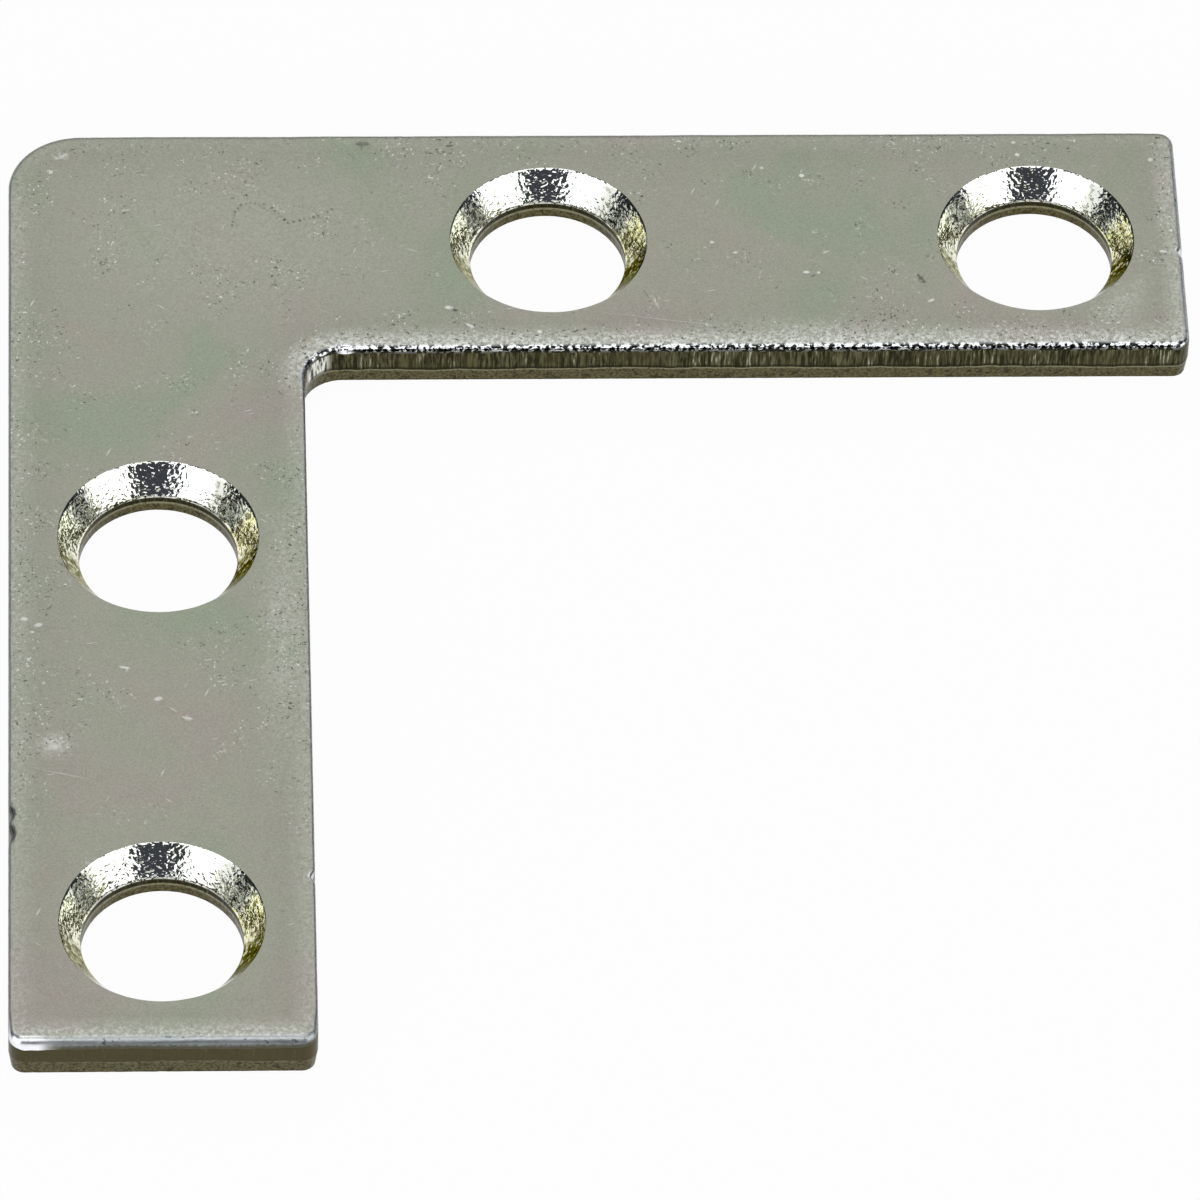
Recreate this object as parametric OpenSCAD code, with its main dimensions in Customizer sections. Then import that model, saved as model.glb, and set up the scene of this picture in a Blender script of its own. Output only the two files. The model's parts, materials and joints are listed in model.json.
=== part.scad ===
// Flat corner brace: one L-shaped plate, punched from sheet steel, with a countersunk screw hole
// near the end of each arm and another near the corner.
// All sizes are in millimetres. The plate lies on its back, which is at Z = 0. The origin is under
// the middle of the square that the brace fills. The arms run along +X and -Y from the outer corner.

/* [Plate] */
// Length of each arm, along its outer edge
arm_length = 38.1; // [30:0.1:80]
// Width of each arm
arm_width = 9.5; // [9:0.1:14]
// Thickness of the sheet
thickness = 1.6; // [1.4:0.1:3]

/* [Corners] */
// Radius of the outer corner, where the arms meet
outer_corner_r = 2.3; // [1:0.1:4]
// Radius of the fillet in the inner corner
inner_corner_r = 1.25; // [0.8:0.05:3]
// Radius of the two corners at the end of each arm
end_corner_r = 0.5; // [0.4:0.05:1.5]

/* [Screw holes] */
// Distance from the outer edge of one arm to the near hole of the other
near_hole_from_edge = 17.5; // [15:0.1:24]
// Distance from the end of an arm to its far hole
far_hole_from_end = 4.75; // [4.5:0.05:8]
// Diameter of the straight part of each hole
hole_d = 5.0; // [4:0.1:5.9]
// Diameter of the countersink at the front face
countersink_d = 6.4; // [6:0.1:7.4]
// Height of the straight part of each hole, from the back
land_height = 0.55; // [0.2:0.05:0.9]

/* [Punched edge] */
// Width and height of the rolled-over edge at the front face
roll_over = 0.25; // [0.1:0.05:0.3]
// Height of the rough fracture band, from the back
fracture_height = 0.55; // [0.3:0.05:0.9]
// How far the fracture band has leant in where it meets the back
fracture_lean = 0.08; // [0.02:0.02:0.14]

/* [Hidden] */
$fn = 96;

// How far each cut runs on past the surface that it goes through
overcut = 0.5;
// Where the outer edges lie, from the origin
outer = arm_length / 2;
// Where the inner edges lie, from the origin
inner = outer - arm_width;
// The roll-over is an arc that meets the front and the side at a slight corner. Its centre lies a
// little deeper than the roll-over does, by this factor.
roll_depth_factor = 1.15;
roll_centre = roll_over * roll_depth_factor;
roll_r = norm([roll_centre, roll_centre - roll_over]);
// How far the countersink widens for each millimetre of height
countersink_slope = (countersink_d - hole_d) / 2 / (thickness - land_height);
// How far the fracture band leans for each millimetre of height
fracture_slope = fracture_lean / fracture_height;

// What is drawn for the arm along X, and its mirror image for the other arm
module both_arms() {
    children();
    mirror([1, 1, 0]) children();
}

// What rounding takes off a convex corner at the origin that points along +X and +Y
module corner_waste(r) {
    translate([-r, -r])
        difference() {
            square(r + overcut);
            circle(r);
        }
}

// Outline of the plate
module outline() {
    difference() {
        translate([-outer, -outer]) square(arm_length);
        // The space between the arms, with the fillet left in its corner
        difference() {
            translate([-inner, -outer - overcut]) square(arm_length - arm_width + overcut);
            translate([-inner, inner]) rotate(90) corner_waste(inner_corner_r);
        }
        translate([-outer, outer]) rotate(90) corner_waste(outer_corner_r);
        both_arms() {
            translate([outer, outer]) corner_waste(end_corner_r);
            translate([outer, inner]) rotate(-90) corner_waste(end_corner_r);
        }
    }
}

// What the punch leaves off an edge, seen along it: X points out of the plate and Y up, with the
// side face at X = 0. The upper area is the roll-over and the lower one the fracture band.
module edge_section() {
    translate([-roll_centre, thickness - roll_centre])
        difference() {
            square(roll_centre + overcut);
            circle(roll_r);
        }
    polygon([
        [-fracture_slope * (fracture_height + overcut), -overcut],
        [overcut, -overcut],
        [overcut, fracture_height + roll_over],
        [fracture_slope * roll_over, fracture_height + roll_over]
    ]);
}

// The edge section along a straight edge. The plate's outside lies at an angle to X, and the edge
// runs clockwise round the plate from its start.
module straight_edge(start, outside, length) {
    translate(start)
        rotate([90, 0, outside])
            linear_extrude(length) edge_section();
}

// The edge section round a quarter turn that starts at an angle to X
module convex_edge(centre, start, r) {
    translate(centre)
        rotate(start)
            rotate_extrude(angle = 90) translate([r, 0]) edge_section();
}

// The edge section round the fillet, where the plate lies outside the turn
module concave_edge(centre, start, r) {
    translate(centre)
        rotate(start)
            rotate_extrude(angle = 90) translate([r, 0]) mirror([1, 0]) edge_section();
}

// All that the punch leaves off the edges
module punched_edges() {
    end_run = arm_width - 2 * end_corner_r;
    outer_run = arm_length - outer_corner_r - end_corner_r;
    inner_run = arm_length - arm_width - inner_corner_r - end_corner_r;
    both_arms() {
        straight_edge([-outer + outer_corner_r, outer, 0], 90, outer_run);
        convex_edge([outer - end_corner_r, outer - end_corner_r, 0], 0, end_corner_r);
        straight_edge([outer, outer - end_corner_r, 0], 0, end_run);
        convex_edge([outer - end_corner_r, inner + end_corner_r, 0], -90, end_corner_r);
        straight_edge([outer - end_corner_r, inner, 0], -90, inner_run);
    }
    convex_edge([-outer + outer_corner_r, outer - outer_corner_r, 0], 90, outer_corner_r);
    concave_edge([-inner + inner_corner_r, inner - inner_corner_r, 0], 90, inner_corner_r);
}

// One screw hole, countersunk from the front
module screw_hole() {
    cone_height = thickness - land_height + overcut;
    translate([0, 0, -overcut]) cylinder(h = land_height + 2 * overcut, d = hole_d);
    translate([0, 0, land_height])
        cylinder(h = cone_height, r1 = hole_d / 2, r2 = hole_d / 2 + countersink_slope * cone_height);
}

module brace_plate() {
    color([0.59, 0.61, 0.55])
        difference() {
            linear_extrude(thickness) outline();
            punched_edges();
            both_arms()
                for (x = [-outer + near_hole_from_edge, outer - far_hole_from_end])
                    translate([x, outer - arm_width / 2, 0]) screw_hole();
        }
}

brace_plate();
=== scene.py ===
"""Looks of the flat corner brace: a punched, zinc-plated plate with its real edges, holes and wear."""

import json
import math

import bpy
import numpy as np
from mathutils import Matrix, Vector, noise
from mathutils.geometry import delaunay_2d_cdt


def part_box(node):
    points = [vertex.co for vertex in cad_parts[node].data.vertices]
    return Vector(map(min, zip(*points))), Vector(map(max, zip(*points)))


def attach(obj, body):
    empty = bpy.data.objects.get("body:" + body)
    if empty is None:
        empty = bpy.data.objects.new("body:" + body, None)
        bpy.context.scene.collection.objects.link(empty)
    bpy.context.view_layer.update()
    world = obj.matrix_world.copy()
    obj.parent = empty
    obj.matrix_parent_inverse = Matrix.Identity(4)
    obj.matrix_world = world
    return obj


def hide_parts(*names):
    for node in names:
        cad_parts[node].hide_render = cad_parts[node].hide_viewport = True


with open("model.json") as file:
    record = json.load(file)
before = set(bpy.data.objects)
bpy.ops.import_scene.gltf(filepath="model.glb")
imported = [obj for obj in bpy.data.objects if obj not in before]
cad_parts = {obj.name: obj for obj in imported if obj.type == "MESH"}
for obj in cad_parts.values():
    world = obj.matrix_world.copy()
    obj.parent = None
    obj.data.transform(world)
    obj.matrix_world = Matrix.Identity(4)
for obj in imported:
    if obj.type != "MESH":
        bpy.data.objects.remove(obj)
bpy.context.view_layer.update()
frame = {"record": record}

# The plate is built in millimetres, in the frame's own place, and scaled to metres at the end.
MM = 0.001
LOW, HIGH = (np.array(corner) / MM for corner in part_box("brace_plate"))
ARM_LENGTH = HIGH[0] - LOW[0]
THICKNESS = HIGH[2] - LOW[2]
OUTER = ARM_LENGTH / 2
ARM_WIDTH = 9.5
INNER = OUTER - ARM_WIDTH
OUTER_CORNER_R = 2.3
INNER_CORNER_R = 1.25
END_CORNER_R = 0.5
HOLE_R = 2.5
COUNTERSINK_R = 3.2
LAND_HEIGHT = 0.55
HOLE_CENTRES = [
    tuple(value / MM for value in mount["pos_m"][:2])
    for mount in frame["record"]["mounts"]
    if mount["kind"] == "bore"
]

# Punched edge: the roll-over at the front, the burnished band and the fracture band at the back
ROLL_REACH = 0.32
ROLL_DEPTH = 0.24
FRACTURE_HEIGHT = 0.60
FRACTURE_LEAN = 0.07
FRACTURE_STEP = 0.016
FRACTURE_LIP = 0.012

# Its points, and the length over which it changes between two stretches of the outline
EDGE_STEP = 0.07
ROLL_ROWS = 8
BURNISH_ROWS = 6
FRACTURE_ROWS = 7
BLEND_LENGTH = 0.7

# How full the roll-over is, where 2 is round, and how worn an edge without scuff is
ROLL_POWER = 2.6
LEAST_WORN = 0.35

# The scuff above which the fracture's step grows, and the share of the step below it
STEP_SCUFF = 0.6
LEAST_STEP = 0.15

# How deep a dent still is at the foot of the roll-over, and how far its painted tone reaches
DENT_LEAN = 0.6
TONE_REACH = 2.2

# How far the noise moves from row to row, so that the rows differ
ROLL_ROW_SHIFT = 0.07
LAND_ROW_SHIFT = 0.3
TORN_SHIFT = 5

# Holes: the rim, the lip that ends the countersink, and the straight wall below it
HOLE_COLUMNS = 190
CONE_ROWS = 12
LAND_ROWS = 6
RIM_ROUNDING = 0.004
# RIM_TONE is a painted light tone on the rim's strip, broken up by painted specks.
RIM_TONE = 0.15
LIP_HEIGHT = 0.05
LIP_REACH = 0.03
LAND_REACH = 0.012
LAND_TAPER = 0.02
LAND_TORN_FROM = 0.4
LAND_POWER = 1.6
LAND_SCUFF = 0.9

# Faces: their points, which are moved by a share of their step, and how far in from the outer
# edge they are scuffed and worn
FACE_STEP = 0.33
FACE_MARGIN = 0.16
FACE_SHIFT = 0.3
FACE_SHIFT_SIZE = 0.21
FACE_SHIFT_SEEDS = (21, 22)
SCUFF_REACH = 0.36
RIM_REACH = 1.3

# Edges of the mesh that turn by more than this many degrees look sharp.
SHARP_ANGLE = 32

# Noise: its strength, the size of its waves in millimetres, and its seed. Here the strength is a
# share of the roll-over's width or depth, or of the fracture band's height.
ROLL_WIDTH_SWELL, ROLL_WIDTH_NICKS = (0.15, 2.2, 1), (0.10, 0.35, 2)
ROLL_DEPTH_SWELL, ROLL_DEPTH_NICKS = (0.12, 2.0, 3), (0.12, 0.3, 4)
FRACTURE_SWELL, FRACTURE_NICKS = (0.10, 1.6, 5), (0.05, 0.4, 6)

# The same, where the strength is in millimetres
FINE_STREAKS, BROAD_STREAKS = (0.006, 0.13, 7), (0.005, 0.5, 8)
CRUMPLE = (0.016, 0.14, 9)
TORN_SIDE = (0.010, 0.14, 10)
RIM_SWELL, RIM_NICKS = (0.010, 0.9, 11), (0.004, 0.25, 12)
TORN_LAND = (0.008, 0.18, 14)
FRONT_SWELL, FRONT_RIPPLE = (0.004, 2.6, 31), (0.002, 0.7, 32)
BACK_SWELL = (0.003, 2.6, 33)

# The same, where the strength is a mark's tone
# The rim's specks are painted glints and painted shade.
RIM_SPECKS = (1.2, 0.16, 13)
DOT_SPECKS = (0.9, 0.11, 42)

# Material slots of the plate's mesh
FACE, EDGE, CONE = range(3)

# What each point carries for the materials:
# wear, from 0 on the face to 1 at the roll-over's foot and below, which also steers painted shading
# level, from 0 to 1 down the burnished band, and on to 2 down the fracture band
# scuff, how roughly the edge is sheared or rubbed; on the face, partly painted highlight
# gleam, where the side gets its painted sheen inside the fillet
# rim, how near the outer edge is
# mark, the tone of a mark, from -1, dark, to 1, white, partly painted glints and shade
VALUES = ("wear", "level", "scuff", "gleam", "rim", "mark")

# Levels of the painted shade line between the bands, of the lip under it, and of the back face
DARK_LEVEL = 0.9
LIP_LEVEL = 1.05
BACK_LEVEL = 2.0

# Dents in the rolled edge: where they are on the plate, in millimetres, their radius and depth,
# and tone, from -1, painted shade, to 1, painted glint. The last one is only a painted glint.
EDGE_DENTS_AND_GLINTS = [
    ((-9.55, -12.5), 0.20, 0.12, 1),
    ((-19.05, -9.9), 0.32, 0.11, -1),
    ((-19.05, -10.7), 0.40, 0.12, -1),
    ((19.05, 13.7), 0.18, 0.08, 1),
    ((-8.2, 9.55), 0.22, 0.06, 1),
    ((-18.6, -19.05), 0.80, 0.00, 1),
]

# Marks on the front, scratches and dents, many painted as white glints with dark shade beside:
# place, length and width in millimetres, turn in degrees, and tone, from -1, dark, to 1, white
MARKS = [
    ((-4.85, 11.33), 0.36, 0.18, -10, 0.9),
    ((-4.66, 11.22), 0.24, 0.12, -20, -0.9),
    ((-4.20, 10.55), 0.40, 0.13, -30, 0.9),
    ((-1.95, 10.25), 0.20, 0.20, 0, 1.0),
    ((-5.95, 13.86), 0.60, 0.09, -20, 0.5),
    ((-6.30, 14.05), 0.40, 0.08, 10, 0.4),
    ((-8.90, 11.20), 0.80, 0.05, -25, 0.35),
    ((1.85, 11.50), 0.60, 0.09, -72, 0.8),
    ((1.55, 11.90), 0.50, 0.08, -65, -0.6),
    ((2.60, 10.69), 5.30, 0.05, -9, 0.5),
    ((6.76, 12.82), 0.26, 0.14, 0, 0.9),
    ((6.98, 12.66), 0.24, 0.12, 20, -0.5),
    ((7.17, 12.80), 0.16, 0.14, 0, 0.8),
    ((7.50, 12.00), 0.50, 0.08, -50, -0.7),
    ((10.50, 12.50), 0.60, 0.14, -60, -0.8),
    ((10.75, 11.55), 0.32, 0.13, 30, 0.8),
    ((3.76, 14.16), 0.18, 0.16, 0, 0.8),
    ((4.50, 13.70), 0.20, 0.14, 20, 0.7),
    ((7.45, 13.70), 0.30, 0.10, 25, 0.5),
    ((6.80, 17.10), 0.20, 0.18, 0, 1.0),
    ((5.50, 17.45), 0.18, 0.14, 0, 0.6),
    ((13.80, 18.55), 0.16, 0.16, 0, 0.8),
    ((13.90, 18.00), 0.18, 0.18, 0, 0.9),
    ((18.25, 17.75), 0.22, 0.20, 0, 0.8),
    ((18.42, 13.66), 0.30, 0.14, -8, 0.9),
    ((18.36, 13.30), 0.20, 0.10, -20, -0.5),
    ((-15.40, -3.95), 0.40, 0.12, -10, 0.8),
    ((-14.35, -5.25), 0.34, 0.20, 20, 0.7),
    ((-13.45, -6.05), 0.40, 0.13, -20, 0.7),
    ((-17.60, -7.15), 0.60, 0.45, 10, 0.5),
    ((-17.40, -8.30), 2.00, 0.06, -15, 0.5),
    ((-18.55, -1.90), 0.28, 0.20, 0, 0.8),
    ((-18.10, -2.15), 0.32, 0.20, 20, 0.7),
    ((-17.30, 18.10), 0.60, 0.16, 35, 0.6),
    ((-17.70, 17.40), 0.24, 0.20, 0, 0.8),
    ((-7.50, 18.60), 0.60, 0.24, 0, -0.6),
    ((-4.65, 18.50), 0.30, 0.14, 0, -0.6),
]
MARK_SEED = 50
MARK_DEPTH = 0.008
MARK_CLEARANCE = 1.3

# A short mark is an oval: how far out its rings of points are, and how strong the mark is there
OVAL_RINGS = ((0.65, 0.9), (1.0, 0.0))
OVAL_SIDES = 9
OVAL_UNEVEN = 0.3
OVAL_WAVE = 0.9

# A mark that is this many times as long as wide is a hair scratch, which wanders to its sides,
# narrows towards its ends and breaks up along its length.
HAIR_RATIO = 4.5
HAIR_STEP = 0.10
HAIR_WANDER = 0.4
HAIR_BEND = 0.6
HAIR_NARROW = 0.25
HAIR_STRENGTH = 0.7
HAIR_UNEVEN = 0.5
HAIR_BREAK = 0.25

# A dotted hair line beside the outer corner: the points that it runs through
DOTTED_LINE = [
    (-11.8, 15.0), (-11.7, 15.6), (-11.5, 15.9), (-11.2, 16.0), (-10.6, 15.9),
    (-10.0, 15.1), (-9.6, 15.2), (-9.0, 15.4), (-8.4, 15.8),
]
DOT_STEP = 0.17
DOT_SIZE = 0.13
DOT_TONE = -0.35

# Soft whitish rubbed areas, some painted highlights: place, length and width, turn and strength
RUBBED_AND_HIGHLIT = [
    ((7.4, 10.1), 5.4, 1.0, -3, 0.6),
    ((16.9, 12.0), 4.0, 1.6, 80, 0.4),
    ((-10.4, -2.0), 10.0, 1.4, 88, 0.35),
    ((-17.6, -7.1), 0.9, 0.7, 10, 0.8),
    ((-12.0, 14.5), 11.0, 7.0, 0, 0.15),
]


# Noise

SEED_STEP = 7.31


def ripple(x, y, size, seed):
    """Smooth noise from -1 to 1 at a point, with bumps of about this size in millimetres."""
    return noise.noise(Vector((x / size, y / size, seed * SEED_STEP)))


def waves(points, wave):
    """The noise at each point."""
    strength, size, seed = wave
    return strength * np.array([ripple(x, y, size, seed) for x, y in points])


def swell(x, y, wave):
    """How far the noise lifts one point above its lowest place."""
    strength, size, seed = wave
    return strength * (1 + ripple(x, y, size, seed))


def directions(angles):
    """Flat unit vectors at these angles."""
    return np.stack([np.cos(angles), np.sin(angles)], 1)


# Outline

def straight(start, end, outside, scuff, roll=1.0):
    """Points along a straight edge, its end left out: their places and outward directions, and the
    scuff, roll-over and gleam there."""
    start, end = np.array(start), np.array(end)
    count = round(np.linalg.norm(end - start) / EDGE_STEP)
    along = np.arange(count)[:, None] / count
    points = start + (end - start) * along
    outwards = np.tile(np.array(outside, float), (count, 1))
    return points, outwards, np.full(count, scuff), np.full(count, roll), np.zeros(count)


def turn(centre, r, start, end, scuff, roll=1.0, gleam=0.0, side=1):
    """The same round a corner, between two angles in degrees. In the fillet the plate lies outside
    the arc, and side is -1."""
    count = round(abs(math.radians(end - start)) * r / EDGE_STEP)
    share = np.arange(count) / count
    ray = directions(np.radians(start + (end - start) * share))
    points = np.array(centre) + r * ray
    shine = gleam * np.sin(math.pi * share) ** 2
    return points, side * ray, np.full(count, scuff), np.full(count, roll), shine


def softened(values):
    """The values along the outline without jumps between one stretch and the next."""
    window = round(BLEND_LENGTH / EDGE_STEP)
    width = 2 * window + 1
    around = np.concatenate([values[-window:], values, values[:window]])
    return np.convolve(around, np.ones(width) / width, "valid")


def outline():
    """The plate's outline, clockwise from the outer corner as seen from the front."""
    o, i, e = OUTER, INNER, END_CORNER_R
    f, r = INNER_CORNER_R, OUTER_CORNER_R
    runs = [
        straight((-o + r, o), (o - e, o), (0, 1), scuff=0.12, roll=0.8),
        turn((o - e, o - e), e, 90, 0, scuff=0.2),
        straight((o, o - e), (o, i + e), (1, 0), scuff=0.45),
        turn((o - e, i + e), e, 0, -90, scuff=0.9, roll=1.3),
        straight((o - e, i), (-i + f, i), (0, -1), scuff=1.0),
        turn((-i + f, i - f), f, 90, 180, scuff=0.9, gleam=1.0, side=-1),
        straight((-i, i - f), (-i, -o + e), (1, 0), scuff=0.25, roll=0.5),
        turn((-i - e, -o + e), e, 0, -90, scuff=0.6, roll=1.6),
        straight((-i - e, -o), (-o + e, -o), (0, -1), scuff=0.62, roll=1.7),
        turn((-o + e, -o + e), e, -90, -180, scuff=0.6, roll=1.8),
        straight((-o, -o + e), (-o, o - r), (-1, 0), scuff=0.25, roll=0.6),
        turn((-o + r, o - r), r, 180, 90, scuff=0.15, roll=0.9),
    ]
    xy, outside, scuff, roll, gleam = (np.concatenate(part) for part in zip(*runs))
    return xy, outside, softened(scuff), softened(roll), gleam


class Shell:
    """Collects the points and faces of one mesh, and a few values for each point."""

    def __init__(self):
        self.points = []
        self.values = {name: [] for name in VALUES}
        self.faces = []
        self.slots = []

    def ring(self, xy, z, **values):
        """Adds a row of points, and returns their numbers."""
        first = len(self.points)
        self.points += [(x, y, h) for (x, y), h in zip(xy, np.broadcast_to(z, len(xy)))]
        for name in VALUES:
            self.values[name] += list(np.broadcast_to(values.get(name, 0.0), len(xy)))
        return np.arange(first, first + len(xy))

    def join(self, upper, lower, slot):
        """Fills between two closed rings of as many points."""
        for corners in zip(upper, np.roll(upper, -1), np.roll(lower, -1), lower):
            self.faces.append(corners)
            self.slots.append(slot)

    def stack(self, rings, slot):
        """Fills between each ring and the next."""
        for upper, lower in zip(rings, rings[1:]):
            self.join(upper, lower, slot)


# Edge

def dents(points):
    """How deep the edge is dented at each point, and its painted glint and shade there."""
    depth, tones = np.zeros((2, len(points)))
    for place, r, deep, tone in EDGE_DENTS_AND_GLINTS:
        away = np.linalg.norm(points - np.array(place), axis=1)
        near = np.exp(-2 * (away / r) ** 2)
        depth = np.maximum(depth, deep * near)
        tones += tone * np.clip(TONE_REACH * near, 0, 1)
    return depth, tones


class Edge:
    """The sizes of the punched edge at each point of the outline, and the rings made from them."""

    def __init__(self, shell, border):
        self.shell = shell
        self.xy, self.outside, self.scuff, roll, self.gleam = border
        self.dent, self.tones = dents(self.xy)
        self.worn = LEAST_WORN + (1 - LEAST_WORN) * self.scuff
        width = ROLL_REACH * self.uneven(ROLL_WIDTH_SWELL, ROLL_WIDTH_NICKS)
        depth = ROLL_DEPTH * self.uneven(ROLL_DEPTH_SWELL, ROLL_DEPTH_NICKS)
        self.width = width * (1 + roll) / 2 + self.dent
        self.depth = depth * roll + self.dent
        split = 1 + waves(self.xy, FRACTURE_SWELL) + waves(self.xy, FRACTURE_NICKS)
        self.split = FRACTURE_HEIGHT * split
        self.streak = sum(np.abs(waves(self.xy, wave)) for wave in (FINE_STREAKS, BROAD_STREAKS))

    def uneven(self, broad, nicks):
        """A factor for a size that swells along the edge and has nicks where the edge is worn."""
        return 1 + waves(self.xy, broad) + self.worn * waves(self.xy, nicks)

    def ring(self, inset, z, **values):
        """A ring of points this far inside the outline."""
        place = self.xy - self.outside * inset[:, None]
        return self.shell.ring(place, z, scuff=self.scuff, gleam=self.gleam, rim=1.0, **values)

    def rolled(self):
        """The roll-over. A dent's painted tone starts below the face, or it would smear onto the face.
        """
        rings = []
        for row in range(ROLL_ROWS + 1):
            angle = math.pi / 2 * row / ROLL_ROWS
            down = math.sin(angle)
            crumple = self.worn * math.sin(2 * angle) * waves(self.xy + row * ROLL_ROW_SHIFT, CRUMPLE)
            inset = self.width * (1 - down ** (2 / ROLL_POWER)) + DENT_LEAN * self.dent * down
            inset = np.maximum(inset + crumple, 0) + self.streak * down
            z = THICKNESS - self.depth * (1 - math.cos(angle))
            tones = self.tones if row > 1 else 0.0
            rings.append(self.ring(inset, z, wear=row / ROLL_ROWS, mark=tones))
        return rings

    def burnished(self, first):
        """The straight band below the roll-over."""
        rings = [first]
        for row in range(1, BURNISH_ROWS + 1):
            share = row / BURNISH_ROWS
            z = (THICKNESS - self.depth) * (1 - share) + self.split * share
            inset = self.streak + DENT_LEAN * self.dent * (1 - share)
            rings.append(self.ring(inset, z, wear=1.0, level=share))
        return rings

    def torn(self):
        """The fracture band. A small step inwards parts it from the burnished one. Its last ring
        belongs to the back face too, which isn't worn."""
        scuffed = (self.scuff - STEP_SCUFF) / (1 - STEP_SCUFF)
        step = FRACTURE_STEP * np.clip(scuffed, LEAST_STEP, 1)
        rings = [self.ring(self.streak + step, self.split - FRACTURE_LIP, wear=1.0, level=LIP_LEVEL)]
        for row in range(1, FRACTURE_ROWS + 1):
            share = row / FRACTURE_ROWS
            rough = np.abs(waves(self.xy + TORN_SHIFT * share, TORN_SIDE))
            inset = self.streak + step + FRACTURE_LEAN * share + rough
            wear = 0.0 if row == FRACTURE_ROWS else 1.0
            level = LIP_LEVEL + (BACK_LEVEL - LIP_LEVEL) * share
            rings.append(self.ring(inset, self.split * (1 - share), wear=wear, level=level))
        return rings


def edge_rings(shell, border):
    """The rolled, burnished and fractured side, from the front face down to the back face."""
    edge = Edge(shell, border)
    rolled = edge.rolled()
    burnished = edge.burnished(rolled[-1])
    torn = edge.torn()
    shell.stack(rolled, FACE)
    shell.stack(burnished, EDGE)
    shell.join(burnished[-1], torn[0], EDGE)
    shell.stack(torn, EDGE)
    return rolled[0], torn[-1]


# Holes

def hole_rings(shell, centre):
    """A countersunk hole, from the front face down to the back face."""
    ray = directions(-2 * math.pi * np.arange(HOLE_COLUMNS) / HOLE_COLUMNS)
    around = np.array(centre) + COUNTERSINK_R * ray
    uneven = waves(around, RIM_SWELL) + waves(around, RIM_NICKS)

    def ring(r, z, **values):
        reach = np.broadcast_to(r, HOLE_COLUMNS)[:, None]
        return shell.ring(np.array(centre) + ray * reach, z, **values)

    slope = (COUNTERSINK_R - HOLE_R) / (THICKNESS - LAND_HEIGHT)
    top = THICKNESS - RIM_ROUNDING
    # Painted light on the rim's strip, speckled with painted glints and shade.
    speckled = RIM_TONE + waves(around, RIM_SPECKS)
    rim = [
        ring(COUNTERSINK_R + RIM_ROUNDING + uneven, THICKNESS),
        ring(COUNTERSINK_R - RIM_ROUNDING * slope + uneven, top, mark=speckled),
    ]
    cone = [rim[-1]]
    lip = LAND_HEIGHT + LIP_HEIGHT
    for row in range(1, CONE_ROWS + 1):
        share = row / CONE_ROWS
        z = top + (lip - top) * share
        r = HOLE_R + slope * (z - LAND_HEIGHT)
        cone.append(ring(r + uneven * (1 - share), z, level=DARK_LEVEL))
    land = land_rings(ring, around)
    shell.stack(rim, FACE)
    shell.stack(cone, CONE)
    # The strip from the cone to the land takes the side's painted shade line.
    shell.join(cone[-1], land[0], EDGE)
    shell.stack(land, EDGE)
    return rim[0], land[-1]


def land_rings(ring, around):
    """The small lip under the cone, and the straight wall below it, torn towards the back."""
    # Its levels give it a painted shade line under the cone, highlight on its lip, shadow at the back.
    land = [ring(HOLE_R + LIP_REACH, LAND_HEIGHT, level=DARK_LEVEL, scuff=LAND_SCUFF)]
    for row in range(1, LAND_ROWS + 1):
        share = row / LAND_ROWS
        torn = np.abs(waves(around + LAND_ROW_SHIFT * row, TORN_LAND)) * (share > LAND_TORN_FROM)
        r = HOLE_R + LAND_REACH + LAND_TAPER * share + torn
        level = DARK_LEVEL + (BACK_LEVEL - DARK_LEVEL) * share**LAND_POWER
        land.append(ring(r, LAND_HEIGHT * (1 - share), level=level, scuff=LAND_SCUFF))
    return land


# Marks

def flat_axes(angle):
    """The directions along and across something that is turned by this many degrees."""
    along = directions(np.radians([angle]))[0]
    return along, np.array([-along[1], along[0]])


def in_oval(points, place, length, width, angle):
    """How far out each point is in an oval, where 1 is its edge."""
    along, across = flat_axes(angle)
    apart = points - np.array(place)
    return np.hypot(apart @ along / (length / 2), apart @ across / (width / 2))


def all_marks():
    """The listed marks, and the dots of the dotted line."""
    marks = [(np.array(mark[0]), *mark[1:]) for mark in MARKS]
    strength, size, seed = DOT_SPECKS
    for start, end in zip(DOTTED_LINE, DOTTED_LINE[1:]):
        start, end = np.array(start), np.array(end)
        count = round(np.linalg.norm(end - start) / DOT_STEP)
        for number in range(count):
            place = start + (end - start) * number / count
            tone = strength * ripple(*place, size, seed) + DOT_TONE
            marks.append((place, DOT_SIZE, DOT_SIZE, 0, tone))
    return marks


def oval(length, width, seed):
    """Rings of points round a short mark, each with its strength."""
    points = [(0.0, 0.0, 1.0)]
    for share, strength in OVAL_RINGS:
        for number in range(OVAL_SIDES):
            around = 2 * math.pi * (number + share) / OVAL_SIDES
            x, y = math.cos(around), math.sin(around)
            reach = share * (1 + OVAL_UNEVEN * ripple(x, y, OVAL_WAVE, seed))
            points.append((reach * length / 2 * x, reach * width / 2 * y, strength))
    return points


def hair(length, width, seed):
    """Points along a thin scratch and on both its sides, each with its strength."""
    points = []
    count = math.ceil(length / HAIR_STEP)
    for number in range(count + 1):
        share = number / count
        u = length * (share - 0.5)
        v = HAIR_WANDER * width * ripple(u, 0, HAIR_BEND, seed)
        taper = math.sin(math.pi * share)
        half = width * HAIR_NARROW * (1 + taper)
        broken = HAIR_STRENGTH + HAIR_UNEVEN * ripple(u, 1, HAIR_BREAK, seed)
        points += [(u, v - half, 0.0), (u, v, math.sqrt(taper) * broken), (u, v + half, 0.0)]
    return points


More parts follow.
